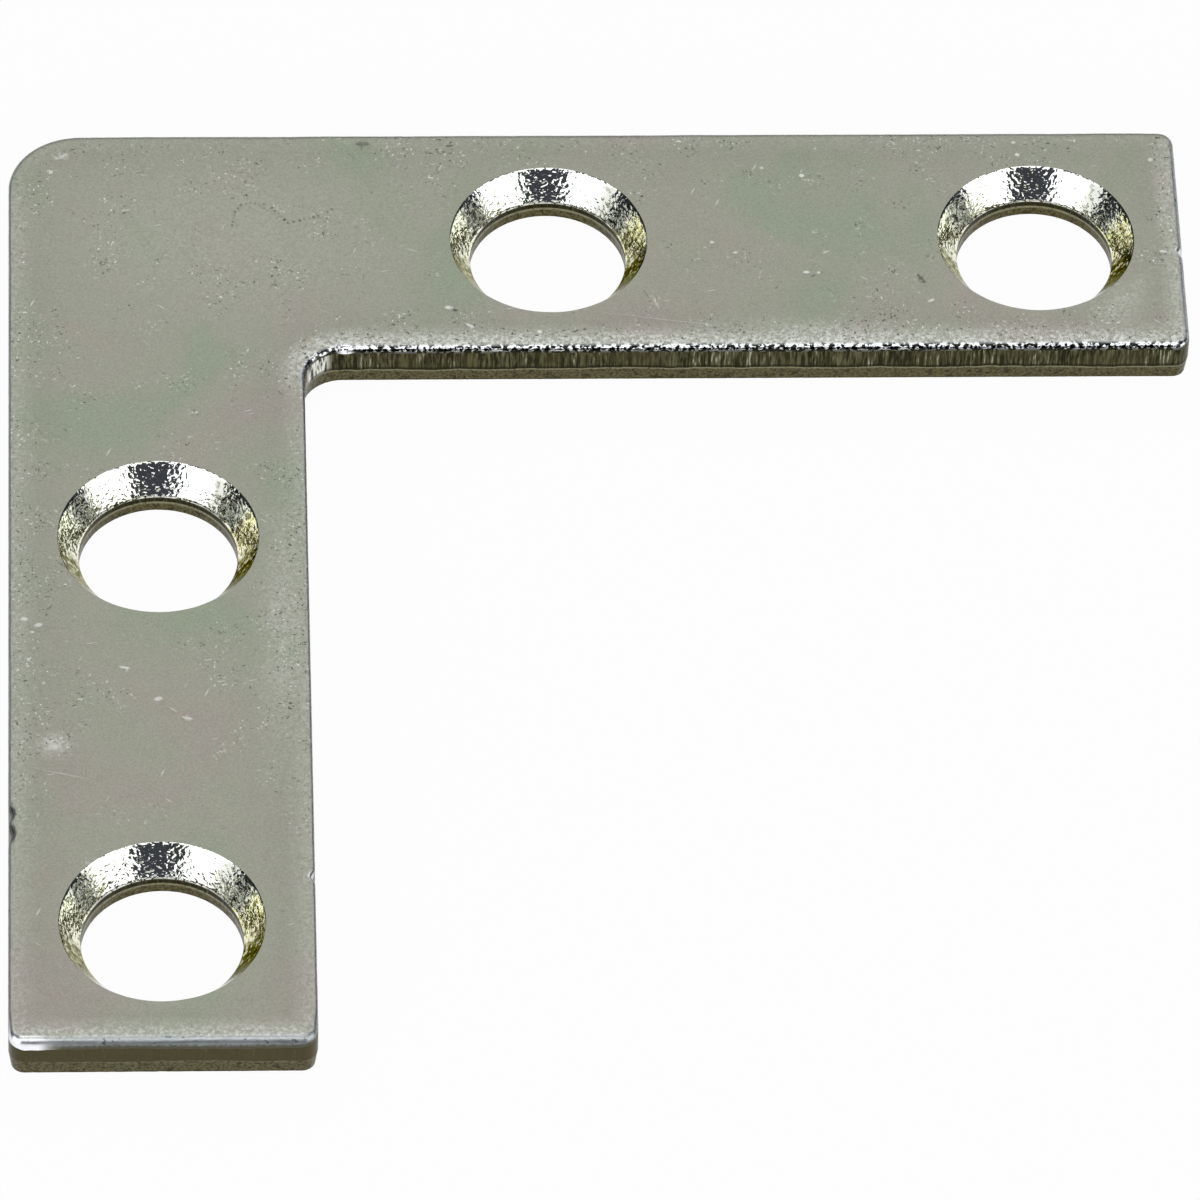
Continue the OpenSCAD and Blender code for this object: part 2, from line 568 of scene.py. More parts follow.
def mark_points(marks):
    """The points of every mark, and the tone of each."""
    points, tones = [], []
    for seed, (place, length, width, angle, tone) in enumerate(marks, MARK_SEED):
        along, across = flat_axes(angle)
        shape = hair if length > HAIR_RATIO * width else oval
        for u, v, strength in shape(length, width, seed):
            points.append(place + u * along + v * across)
            tones.append(strength * tone)
    return np.array(points), np.array(tones)


# Front and back

def inside_plate(x, y, margin):
    """Whether a point lies on the face, at least this far from its edges and holes."""
    in_square = max(abs(x), abs(y)) < OUTER - margin
    in_gap = x > -INNER - margin and y < INNER + margin
    clear = all(
        math.hypot(x - cx, y - cy) > COUNTERSINK_R + margin for cx, cy in HOLE_CENTRES
    )
    corner_x, corner_y = -OUTER + OUTER_CORNER_R, OUTER - OUTER_CORNER_R
    in_corner = x < corner_x and y > corner_y
    rounded = math.hypot(x - corner_x, y - corner_y) < OUTER_CORNER_R - margin
    return in_square and not in_gap and clear and (rounded or not in_corner)


def shifted(x, y):
    """A point moved a little off its grid."""
    seed_x, seed_y = FACE_SHIFT_SEEDS
    x += FACE_SHIFT * FACE_STEP * ripple(x, y, FACE_SHIFT_SIZE, seed_x)
    y += FACE_SHIFT * FACE_STEP * ripple(x, y, FACE_SHIFT_SIZE, seed_y)
    return x, y


def face_points(margin):
    """Points spread over the face, a little off a plain grid."""
    steps = -OUTER + np.arange(int(ARM_LENGTH / FACE_STEP) + 1) * FACE_STEP
    spread = [shifted(x, y) for y in steps for x in steps]
    return np.array([point for point in spread if inside_plate(*point, margin)])


def marked_points(margin):
    """Points over the front face, with the marks' points in place of those under them, and their
    tones."""
    spread = face_points(margin)
    marks = all_marks()
    clear = np.all([in_oval(spread, *mark[:4]) > MARK_CLEARANCE for mark in marks], axis=0)
    points, tones = mark_points(marks)
    return np.concatenate([spread[clear], points]), np.concatenate([np.zeros(clear.sum()), tones])


def near_edges(points, border):
    """How scuffed each point of the face is by the edge next to it, and how close that edge is."""
    xy, _, scuff, _, _ = border
    away = np.empty(len(points))
    worn = np.empty(len(points))
    for number, point in enumerate(points):
        distance = np.linalg.norm(xy - point, axis=1)
        nearest = distance.argmin()
        away[number] = max(distance[nearest] - ROLL_REACH, 0)
        worn[number] = scuff[nearest]
    scuffed = worn * np.exp(-((away / SCUFF_REACH) ** 2))
    # The rubbed areas add to the scuff, and so to the haze: partly painted highlight.
    for *area, strength in RUBBED_AND_HIGHLIT:
        scuffed = np.maximum(scuffed, strength * np.exp(-in_oval(points, *area) ** 2))
    return scuffed, np.exp(-((away / RIM_REACH) ** 2))


def front_height(x, y):
    return THICKNESS - swell(x, y, FRONT_SWELL) - swell(x, y, FRONT_RIPPLE)


def back_height(x, y):
    return swell(x, y, BACK_SWELL)


INSIDE_ONLY = 1
MERGE_DISTANCE = 1e-7


def triangles(flat, rings):
    """Triangles over flat points, inside the first ring and outside the others. The rings' points
    come first among them, one ring after another."""
    ends = np.cumsum([len(ring) for ring in rings])
    edge, *rims = (list(range(end - len(ring), end)) for ring, end in zip(rings, ends))
    rim_edges = [pair for rim in rims for pair in zip(rim, rim[1:] + rim[:1])]
    found = delaunay_2d_cdt(flat, rim_edges, [edge[::-1]], INSIDE_ONLY, MERGE_DISTANCE)
    _, _, faces, sources, _, _ = found
    owner = {point: number for number, rim in enumerate(rims) for point in rim}
    for face in faces:
        corners = [sources[point][0] for point in face]
        owners = {owner.get(corner) for corner in corners}
        # Three corners on one hole's rim are a triangle over that hole.
        if len(owners) > 1 or None in owners:
            yield corners


def fill_face(shell, border, rings, spread, tones, height):
    """Fills the front or back between its rings, over points of the face. The triangles face up."""
    scuff, rim = near_edges(spread, border)
    heights = np.array([height(x, y) for x, y in spread]) - MARK_DEPTH * np.abs(tones)
    inner = shell.ring(spread, heights, scuff=scuff, rim=rim, mark=tones)
    numbers = np.concatenate([*rings, inner])
    flat = [Vector(shell.points[n][:2]) for n in numbers]
    return [tuple(numbers[corners]) for corners in triangles(flat, rings)]


def fill_front(shell, border, rings):
    spread, tones = marked_points(ROLL_REACH + FACE_MARGIN)
    faces = fill_face(shell, border, rings, spread, tones, front_height)
    shell.faces += faces
    shell.slots += [FACE] * len(faces)


def fill_back(shell, border, rings):
    spread = face_points(FRACTURE_LEAN + FACE_MARGIN)
    faces = fill_face(shell, border, rings, spread, np.zeros(len(spread)), back_height)
    shell.faces += [(a, c, b) for a, b, c in faces]
    shell.slots += [FACE] * len(faces)


def build_plate(name):
    """The whole plate as one closed mesh."""
    shell = Shell()
    border = outline()
    front_edge, back_edge = edge_rings(shell, border)
    front_rims, back_rims = zip(*(hole_rings(shell, centre) for centre in HOLE_CENTRES))
    fill_front(shell, border, [front_edge, *front_rims])
    fill_back(shell, border, [back_edge, *back_rims])

    mesh = bpy.data.meshes.new(name)
    mesh.from_pydata(np.array(shell.points) * MM, [], shell.faces)
    mesh.polygons.foreach_set("material_index", shell.slots)
    for value, numbers in shell.values.items():
        mesh.attributes.new(value, "FLOAT", "POINT").data.foreach_set("value", np.array(numbers, float))
    mesh.polygons.foreach_set("use_smooth", [True] * len(mesh.polygons))
    mesh.update()
    mesh.set_sharp_from_angle(angle=math.radians(SHARP_ANGLE))
    plate = bpy.data.objects.new(name, mesh)
    bpy.context.collection.objects.link(plate)
    return plate


# Materials

def srgb(r, g, b):
    """A colour given in 0 to 255, as the shader wants it."""
    linear = [v / 255 / 12.92 if v <= 10 else ((v / 255 + 0.055) / 1.055) ** 2.4 for v in (r, g, b)]
    return (*linear, 1.0)


class Shader:
    """Makes the nodes of one material. Values are sockets of earlier nodes, or plain numbers."""

    def __init__(self, name):
        self.material = bpy.data.materials.new(name)
        self.material.use_nodes = True
        self.tree = self.material.node_tree
        self.surface = self.tree.nodes["Principled BSDF"]
        self.coordinates = self.tree.nodes.new("ShaderNodeTexCoord")
        self.place = self.stretched(self.coordinates.outputs["Object"], (MM, MM, MM))

    def put(self, socket, value):
        """Links a socket to an earlier one, or sets it to a plain value."""
        if isinstance(value, bpy.types.NodeSocket):
            self.tree.links.new(value, socket)
        else:
            socket.default_value = value

    def stretched(self, place, size, turn=0.0):
        """The place, turned by this many degrees and measured in units of this size."""
        node = self.tree.nodes.new("ShaderNodeMapping")
        node.vector_type = "TEXTURE"
        self.put(node.inputs["Vector"], place)
        node.inputs["Rotation"].default_value[2] = math.radians(turn)
        node.inputs["Scale"].default_value = size
        return node.outputs["Vector"]

    def turned(self, angle):
        """The place, turned by this many degrees."""
        return self.stretched(self.place, (1, 1, 1), angle)

    def parts(self, vector):
        """The X, Y and Z of a vector."""
        node = self.tree.nodes.new("ShaderNodeSeparateXYZ")
        self.put(node.inputs["Vector"], vector)
        return node.outputs

    def noise(self, size, place=None, detail=2.0, rough=0.5, bend=0.0):
        """Noise from 0 to 1, with blotches of about this size in millimetres."""
        node = self.tree.nodes.new("ShaderNodeTexNoise")
        self.put(node.inputs["Vector"], place or self.place)
        node.inputs["Scale"].default_value = 1 / size
        node.inputs["Detail"].default_value = detail
        node.inputs["Roughness"].default_value = rough
        node.inputs["Distortion"].default_value = bend
        return node.outputs["Fac"]

    def cells(self, size, place):
        """The distance to the middle of the nearest cell, in cells of about this size."""
        node = self.tree.nodes.new("ShaderNodeTexVoronoi")
        self.put(node.inputs["Vector"], place)
        node.inputs["Scale"].default_value = 1 / size
        return node.outputs["Distance"]

    def maths(self, kind, a, b=0.0):
        node = self.tree.nodes.new("ShaderNodeMath")
        node.operation = kind
        self.put(node.inputs[0], a)
        self.put(node.inputs[1], b)
        return node.outputs[0]

    def gathered(self, kind, first, *others):
        """The same operation over several values, one after another."""
        for other in others:
            first = self.maths(kind, first, other)
        return first

    def both(self, *values):
        """The product of several values."""
        return self.gathered("MULTIPLY", *values)

    def either(self, *values):
        """The largest of several values."""
        return self.gathered("MAXIMUM", *values)

    def total(self, *values):
        return self.gathered("ADD", *values)

    def without(self, value, *taken):
        """A value less the others."""
        return self.gathered("SUBTRACT", value, *taken)

    def spread(self, value, low, high, to_low=0.0, to_high=1.0):
        """Stretches a value from one range to another, smoothly at its ends."""
        node = self.tree.nodes.new("ShaderNodeMapRange")
        node.interpolation_type = "SMOOTHSTEP"
        self.put(node.inputs["Value"], value)
        limits = {"From Min": low, "From Max": high, "To Min": to_low, "To Max": to_high}
        for name, number in limits.items():
            node.inputs[name].default_value = number
        return node.outputs["Result"]

    def mix(self, share, a, b, blend="MIX"):
        """Colour a, with this share of colour b."""
        node = self.tree.nodes.new("ShaderNodeMix")
        node.data_type = "RGBA"
        node.blend_type = blend
        colour_sockets = [socket for socket in node.inputs if socket.type == "RGBA"]
        self.put(node.inputs["Factor"], share)
        self.put(colour_sockets[0], a)
        self.put(colour_sockets[1], b)
        return next(socket for socket in node.outputs if socket.type == "RGBA")

    def attribute(self, name):
        """One of the values that the mesh's points carry."""
        node = self.tree.nodes.new("ShaderNodeAttribute")
        node.attribute_name = name
        return node.outputs["Fac"]

    def bump(self, height, depth, after=None):
        """A bump from a height of 0 to 1 that stands for this depth in millimetres."""
        node = self.tree.nodes.new("ShaderNodeBump")
        node.inputs["Distance"].default_value = depth * MM
        self.put(node.inputs["Height"], height)
        if after is not None:
            self.put(node.inputs["Normal"], after)
        return node.outputs["Normal"]

    def finish(self, colour, roughness, normal):
        """Gives the surface its looks, as bare metal."""
        self.put(self.surface.inputs["Base Color"], colour)
        self.put(self.surface.inputs["Roughness"], roughness)
        self.put(self.surface.inputs["Normal"], normal)
        self.surface.inputs["Metallic"].default_value = 1.0
        return self.material


WHITE = (1, 1, 1, 1)

# A pattern's range is where it sets in, from none to full: on its noise, or on one of the values
# that the points carry where the name says so. NOISE_RANGE is the whole of a noise.
NOISE_RANGE = (0.3, 0.7)

# Front and back: the plating and its tint
PLATING = srgb(159, 160, 146)
GREEN_TINT, GREEN_RANGE = srgb(151, 159, 140), (0.50, 0.70)
PINK_TINT, PINK_RANGE = srgb(162, 156, 147), (0.48, 0.32)
TINT_SIZE = 5.0
CLOUD_SIZE, CLOUD_SHADE = 0.8, (0.95, 1.05)
GRAIN_SIZE, GRAIN_SHADE, GRAIN_BUMP = 0.07, (-0.10, 0.10), 0.004
QUIET_SCUFF, QUIET_SHADE = (0.3, 0.0), 0.06
PLATING_ROUGHNESS = (0.37, 0.45)

# Flecks lie in three directions: turn in degrees, and the size of their cells
FLECKS = ((12, 0.8), (-38, 0.9), (66, 1.0))
FLECK_STRETCH = (2.4, 0.42, 1)
FLECK_RANGE = (0.10, 0.03)
FLECK_PATCH_SIZE, FLECK_PATCH_RANGE = 1.5, (0.51, 0.59)
FLECK_STRENGTH = 0.6
FLECK_AND_GLINT_COLOUR = srgb(216, 219, 212)
FLECK_BUMP = 0.010
LIGHT_POLISH = 0.12

# Specks come in patches and near the edges: bright points and dark pits. The blurred end of the
# Y arm has few: the range of Y, in millimetres, over which they set in.
SPECK_SIZE = 0.11
POINT_RANGE = (0.62, 0.72)
PIT_RANGE, PIT_STRENGTH, PIT_AND_SHADE_COLOUR = (0.36, 0.28), 0.8, srgb(78, 82, 74)
PATCH_SIZE, PATCH_RANGE = 1.1, (0.50, 0.72)
PATCH_BY_RIM, PATCH_BY_SCUFF = 0.09, 0.40
FOCUS_Y, BLURRED_SPECKS = (-16, -5), 0.2

# Beside scuffed edges and in rubbed areas the plating has a whitish haze, partly painted highlight.
HAZE_SIZE, HAZE_RANGE, HAZE_STRENGTH = 0.13, (0.42, 0.62), (0.10, 1.0)

# Roll-over: its polish, and its painted shading from a lit top down to a shaded foot
POLISHED_WEAR, POLISHED_SCUFF, LEAST_POLISH = (0.10, 0.45), (0.25, 0.6), 0.3
ROLL_TOP_LIT, ROLL_FOOT_SHADED = srgb(206, 212, 216), srgb(96, 102, 110)
ROLL_SHADING_RANGE, ROLL_SHADING_STRENGTH = (0.30, 0.90), 0.8

# Its beaten spots where scuffed, painted as white glints and black shade; a few dull ones elsewhere
BEATEN_SCUFF, BEATEN_POLISH = (0.62, 1.0), 0.22
SPOT_SIZE, SPOT_BUMP = 0.15, 0.030
SPOT_SHADE, SPOT_SHADE_RANGE = srgb(30, 31, 22), (0.505, 0.475)
SPOT_GLINT, SPOT_GLINT_RANGE = srgb(254, 255, 254), (0.515, 0.54)
SPOT_DULL, SPOT_DULL_RANGE, SPOT_DULL_STRENGTH = srgb(60, 62, 58), (0.36, 0.31), 0.6

# Painted shade at its foot, darker where scuffed, and its dents' painted glints and shade
FOOT_SHADE, FOOT_SHADE_SCUFFED, FOOT_SHADE_SCUFF = srgb(84, 80, 62), srgb(42, 42, 28), (0.64, 0.9)
FOOT_SHADE_RANGE, FOOT_SHADE_UNEVEN, FOOT_SHADE_STRENGTH = (0.82, 1.05), 0.3, 0.9
DENT_GLINT = srgb(250, 252, 254)
DENT_SHADE, DENT_SHADE_STRENGTH = srgb(20, 20, 14), 0.9


def plating_colour(s, cloud, grain):
    """The plating's own colour, with a faint green and pink tint, darker beside its quiet edges."""
    tint = s.noise(TINT_SIZE, detail=3, bend=0.5)
    colour = s.mix(s.spread(tint, *GREEN_RANGE), PLATING, GREEN_TINT)
    colour = s.mix(s.spread(tint, *PINK_RANGE), colour, PINK_TINT)
    clouds = s.spread(cloud, *NOISE_RANGE, *CLOUD_SHADE)
    grains = s.spread(grain, *NOISE_RANGE, *GRAIN_SHADE)
    quiet = s.spread(s.attribute("scuff"), *QUIET_SCUFF)
    quiet_edge = s.both(s.attribute("rim"), quiet, QUIET_SHADE)
    return s.mix(1.0, colour, s.without(s.total(clouds, grains), quiet_edge), "MULTIPLY")


def fleck_pattern(s):
    """Short scratches. Each sits in some of its cells only."""
    flecks = 0.0
    for angle, size in FLECKS:
        cells = s.cells(size, s.stretched(s.place, FLECK_STRETCH, angle))
        few = s.noise(FLECK_PATCH_SIZE + size, s.turned(angle))
        few = s.spread(few, *FLECK_PATCH_RANGE, 0, FLECK_STRENGTH)
        flecks = s.either(flecks, s.both(s.spread(cells, *FLECK_RANGE), few))
    return flecks


def speck_pattern(s, rim, scuff):
    """Bright points and dark pits, in patches and along the edges."""
    patches = s.total(s.noise(PATCH_SIZE), s.both(rim, PATCH_BY_RIM), s.both(scuff, PATCH_BY_SCUFF))
    in_focus = s.spread(s.parts(s.place)["Y"], *FOCUS_Y, BLURRED_SPECKS, 1.0)
    near = s.both(s.spread(patches, *PATCH_RANGE), in_focus)
    specks = s.noise(SPECK_SIZE, rough=0.6)
    points = s.both(s.spread(specks, *POINT_RANGE), near)
    pits = s.both(s.spread(specks, *PIT_RANGE), near, PIT_STRENGTH)
    return points, pits


def rolled_colour(s, colour, polished, rough_part, beaten):
    """The roll-over: polished, with painted shading from a lit top to a shaded foot, and beaten into
    painted white glints and dark shade where it is scuffed.
    """
    wear, scuff, mark = (s.attribute(name) for name in ("wear", "scuff", "mark"))
    painted_shade_spots = s.both(rough_part, s.spread(beaten, *SPOT_SHADE_RANGE))
    painted_glint_spots = s.both(rough_part, s.spread(beaten, *SPOT_GLINT_RANGE))
    dull_spots = s.both(polished, s.spread(beaten, *SPOT_DULL_RANGE), SPOT_DULL_STRENGTH)
    lowest = s.spread(s.total(wear, s.both(beaten, FOOT_SHADE_UNEVEN)), *FOOT_SHADE_RANGE)
    painted_foot_shade = s.mix(s.spread(scuff, *FOOT_SHADE_SCUFF), FOOT_SHADE, FOOT_SHADE_SCUFFED)
    # Painted shading: the roll-over lit and bluish at its top, shaded at its foot.
    painted_roll_shading = s.mix(s.spread(wear, *ROLL_SHADING_RANGE), ROLL_TOP_LIT, ROLL_FOOT_SHADED)
    colour = s.mix(s.both(polished, ROLL_SHADING_STRENGTH), colour, painted_roll_shading)
    # Painted white glints and black shade on the beaten spots.
    colour = s.mix(painted_shade_spots, colour, SPOT_SHADE)
    colour = s.mix(painted_glint_spots, colour, SPOT_GLINT)
    colour = s.mix(dull_spots, colour, SPOT_DULL)
    # Painted shade at the foot of the roll-over, blotchy, and darker where it is scuffed.
    colour = s.mix(s.both(lowest, polished, FOOT_SHADE_STRENGTH), colour, painted_foot_shade)
    # A dent's painted glint where its tone is bright, and painted shade where it is dark.
    colour = s.mix(s.both(polished, mark), colour, DENT_GLINT)
    return s.mix(s.both(polished, mark, -DENT_SHADE_STRENGTH), colour, DENT_SHADE)


def plated_face():
    """Satin zinc plating, faint green and pink, with flecks, pits, worn edges and painted shading."""
    s = Shader("plated_face")
    wear, scuff, rim, mark = (s.attribute(name) for name in ("wear", "scuff", "rim", "mark"))
    cloud = s.noise(CLOUD_SIZE, detail=4, rough=0.6)
    grain = s.noise(GRAIN_SIZE, detail=3, rough=0.7)
    flecks = fleck_pattern(s)
    points, pits = speck_pattern(s, rim, scuff)
    haze = s.spread(s.noise(HAZE_SIZE, detail=4, rough=0.8), *HAZE_RANGE, *HAZE_STRENGTH)
    light = s.either(mark, flecks, points, s.both(scuff, haze))
    dark = s.either(s.both(mark, -1.0), pits)
    # Light flecks, points and haze, and the marks' painted glints; dark pits, and the marks' painted
    # shade.
    colour = s.mix(light, plating_colour(s, cloud, grain), FLECK_AND_GLINT_COLOUR)
    colour = s.mix(dark, colour, PIT_AND_SHADE_COLOUR)

    beaten = s.noise(SPOT_SIZE, detail=1)
    polished = s.spread(scuff, *POLISHED_SCUFF, LEAST_POLISH, 1.0)
    polished = s.both(s.spread(wear, *POLISHED_WEAR), polished)
    rough_part = s.both(polished, s.spread(scuff, *BEATEN_SCUFF))
    colour = rolled_colour(s, colour, polished, rough_part, beaten)

    roughness = s.spread(cloud, *NOISE_RANGE, *PLATING_ROUGHNESS)
    roughness = s.without(roughness, s.both(light, LIGHT_POLISH), s.both(rough_part, BEATEN_POLISH))
    normal = s.bump(grain, GRAIN_BUMP)
    normal = s.bump(s.without(flecks, pits), FLECK_BUMP, after=normal)
    normal = s.bump(s.both(rough_part, beaten), SPOT_BUMP, after=normal)
    return s.finish(colour, roughness, normal)


# Side, above: the burnished band's upright streaks, its stains, and its painted sheen in the fillet
# Its dark olive colours are partly painted dark reflection of the surroundings that it mirrors.
BURNISHED = srgb(74, 69, 46)
CRISP_SCUFF, LEAST_CRISP = (0.64, 0.95), 0.10
STREAK_SIZE, STREAK_STRETCH, STREAK_BUMP = 0.08, (1, 1, 10), 0.006
STREAK_DARK, STREAK_LIGHT, STREAK_RANGE = srgb(34, 33, 14), srgb(100, 98, 70), (0.40, 0.66)
# A few painted glints along the streaks.
STREAK_GLINT, STREAK_GLINT_RANGE = srgb(160, 162, 144), (0.60, 0.68)
BRIGHT_PATCH_SIZE, BRIGHT_PATCH_RANGE = 0.9, (0.45, 0.6)
STAIN, STAIN_SIZE, STAIN_RANGE, STAIN_STRENGTH = srgb(80, 73, 46), 1.1, (0.4, 0.65), 0.4
# Inside the fillet the side is painted with a sheen of near-white and dark streaks.
FILLET_SHADE, FILLET_HIGHLIGHT, FILLET_RANGE = srgb(30, 30, 18), srgb(236, 238, 226), (0.42, 0.54)
FILLET_GLEAM = (0.2, 0.8)
EDGE_ROUGHNESS = (0.30, 0.45)

# Side, below: the fracture band's grain and pits
# Its browns are partly painted dark reflection too.
TORN_LEVEL = (1.0, 1.06)
TORN_SIZE, TORN_BUMP = 0.10, 0.010
TORN_DARK, TORN_LIGHT, TORN_RANGE = srgb(60, 55, 28), srgb(102, 97, 66), (0.35, 0.65)
TORN_PIT, TORN_PIT_SIZE = srgb(44, 40, 20), 0.17
TORN_PIT_RANGE, TORN_PIT_STRENGTH = (0.44, 0.36), 0.8

# Painted lines along the side: the levels at which each one starts and ends
SHADE_LINE, SHADE_LINE_START, SHADE_LINE_END = srgb(34, 32, 15), (0.78, 0.92), (1.03, 0.98)
LIP_HIGHLIGHT, LIP_HIGHLIGHT_START, LIP_HIGHLIGHT_END = srgb(144, 142, 112), (1.0, 1.04), (1.24, 1.10)
LIP_GRAIN_RANGE = (0.3, 0.5)
LINE_STRENGTH = 0.8
BACK_SHADOW, BACK_SHADOW_START, BACK_SHADOW_STRENGTH = srgb(58, 50, 20), (1.86, 1.96), 0.6


def burnished_colour(s, streaks, upright, crisp):
    """The straight band: dark upright streaks, stained, painted glints, and a painted fillet sheen."""
    streaked = s.mix(s.spread(streaks, *STREAK_RANGE), STREAK_DARK, STREAK_LIGHT)
    colour = s.mix(crisp, BURNISHED, streaked)
    stain = s.noise(STAIN_SIZE, detail=3)
    colour = s.mix(s.spread(stain, *STAIN_RANGE, 0, STAIN_STRENGTH), colour, STAIN)
    # A few painted glints on the streaks' crests, in patches.
    few = s.spread(s.noise(BRIGHT_PATCH_SIZE, upright), *BRIGHT_PATCH_RANGE)
    streak_glints = s.both(s.spread(streaks, *STREAK_GLINT_RANGE), few, crisp)
    colour = s.mix(streak_glints, colour, STREAK_GLINT)
    # The painted sheen inside the fillet: near-white highlights and dark streaks.
    painted_sheen = s.mix(s.spread(streaks, *FILLET_RANGE), FILLET_SHADE, FILLET_HIGHLIGHT)
    return s.mix(s.spread(s.attribute("gleam"), *FILLET_GLEAM), colour, painted_sheen)


def torn_colour(s, torn_grain):
    """The fracture band: grainy and pitted."""
    torn = s.mix(s.spread(torn_grain, *TORN_RANGE), TORN_DARK, TORN_LIGHT)
    pits = s.spread(s.noise(TORN_PIT_SIZE, detail=3), *TORN_PIT_RANGE)
    return s.mix(s.both(pits, TORN_PIT_STRENGTH), torn, TORN_PIT)


def lined(s, colour, level, torn_grain, crisp):
    """A painted shade line ends the burnished band, the torn band starts at a painted highlight on
    its lip, and a brown painted contact shadow ends it at the back."""
    dark = s.both(s.spread(level, *SHADE_LINE_START), s.spread(level, *SHADE_LINE_END), crisp)
    lip = s.both(s.spread(level, *LIP_HIGHLIGHT_START), s.spread(level, *LIP_HIGHLIGHT_END))
    lip = s.both(lip, s.spread(torn_grain, *LIP_GRAIN_RANGE), crisp)
    back = s.both(s.spread(level, *BACK_SHADOW_START), BACK_SHADOW_STRENGTH)
    colour = s.mix(s.both(dark, LINE_STRENGTH), colour, SHADE_LINE)
    colour = s.mix(s.both(lip, LINE_STRENGTH), colour, LIP_HIGHLIGHT)
    return s.mix(back, colour, BACK_SHADOW)


def sheared_edge():
    """The punched side: streaked, dark above, torn, brown at the back; partly painted reflection."""
    s = Shader("sheared_edge")
    level = s.attribute("level")
    crisp = s.spread(s.attribute("scuff"), *CRISP_SCUFF, LEAST_CRISP, 1.0)
    torn_part = s.spread(level, *TORN_LEVEL)
    upright = s.stretched(s.place, STREAK_STRETCH)
    streaks = s.noise(STREAK_SIZE, upright, detail=3, rough=0.6)
    torn_grain = s.noise(TORN_SIZE, detail=4, rough=0.7)
    burnished = burnished_colour(s, streaks, upright, crisp)
    colour = s.mix(torn_part, burnished, torn_colour(s, torn_grain))
    colour = lined(s, colour, level, torn_grain, crisp)
    normal = s.bump(s.both(streaks, crisp), STREAK_BUMP)
    normal = s.bump(s.both(torn_grain, torn_part), TORN_BUMP, after=normal)
    return s.finish(colour, s.spread(streaks, *NOISE_RANGE, *EDGE_ROUGHNESS), normal)


# Countersink: its bright metal and its dimples
CONE_BRIGHT = srgb(236, 238, 234)
CONE_TINT, CONE_TINT_SIZE, CONE_TINT_RANGE = srgb(230, 233, 222), 1.2, (0.4, 0.6)
CONE_SHEEN_SIZE, CONE_ROUGHNESS = 0.3, (0.06, 0.11)
DIMPLE_SIZE, DIMPLE_BUMP = 0.14, 0.021
DEEP_DIMPLE_SIZE, DEEP_DIMPLE_TURN, DEEP_DIMPLE_BUMP = 0.13, 30, 0.019

# Its walls, of which the left and right ones differ. A slant is the range of the surface
# direction's X, or of its Y on the low part, over which a colour sets in or ends.
# Colours by facing: painted light and shade, over a yellow tint on the side walls.
WALL_GREY_SHADE, GREY_SLANT, GREY_SLANT_END = srgb(186, 188, 180), (0.54, 0.66), (0.80, 0.74)
LEFT_PALE, RIGHT_PALE, PALE_SLANT = srgb(244, 247, 218), srgb(240, 236, 178), (0.74, 0.80)
# Painted shade: the low near wall is dark olive, darker on the hole's right side.
LEFT_LOW_SHADE, RIGHT_LOW_SHADE = srgb(172, 172, 146), srgb(120, 119, 80)
LEFT_GLANCING, RIGHT_GLANCING = srgb(200, 198, 176), srgb(150, 148, 112)
LOW_SLANT, LOW_SLANT_END = (-0.04, 0.20), (0.66, 0.50)
RIGHT_SLANT, RIGHT_SHIFT = (0.1, -0.1), 0.10
MIDDLE_SLANT = (0.34, 0.18)
WALL_SPECK_SIZE = 0.19
WALL_DARK, DARK_SLANT = srgb(64, 60, 36), (0.56, 0.70)
WALL_DARK_RANGE, WALL_DARK_STRENGTH = (0.48, 0.40), 0.75
WALL_GLINT, GLINT_SLANT = srgb(252, 252, 236), (0.70, 0.78)
WALL_GLINT_RANGE, WALL_GLINT_STRENGTH = (0.55, 0.60), 0.9


def cone_colour(s, across, on_right, low):
    """Bright metal, with painted light and shade on its walls: grey beside the bright part, then pale
    with a yellow tint, and dark below, with dark specks and painted glints."""
    tint = s.noise(CONE_TINT_SIZE)
    specks = s.noise(WALL_SPECK_SIZE, rough=0.6)
    moved = s.total(across, s.both(on_right, RIGHT_SHIFT))
    grey_part = s.both(s.spread(moved, *GREY_SLANT), s.spread(across, *GREY_SLANT_END))
    dark_specks = s.both(s.spread(moved, *DARK_SLANT), s.spread(specks, *WALL_DARK_RANGE))
    glints = s.both(s.spread(across, *GLINT_SLANT), s.spread(specks, *WALL_GLINT_RANGE))
    colour = s.mix(s.spread(tint, *CONE_TINT_RANGE), CONE_BRIGHT, CONE_TINT)
    colour = s.mix(grey_part, colour, WALL_GREY_SHADE)
    colour = s.mix(s.spread(across, *PALE_SLANT), colour, s.mix(on_right, LEFT_PALE, RIGHT_PALE))
    colour = s.mix(low, colour, s.mix(on_right, LEFT_LOW_SHADE, RIGHT_LOW_SHADE))
    colour = s.mix(s.both(dark_specks, WALL_DARK_STRENGTH), colour, WALL_DARK)
    return s.mix(s.both(glints, WALL_GLINT_STRENGTH), colour, WALL_GLINT)


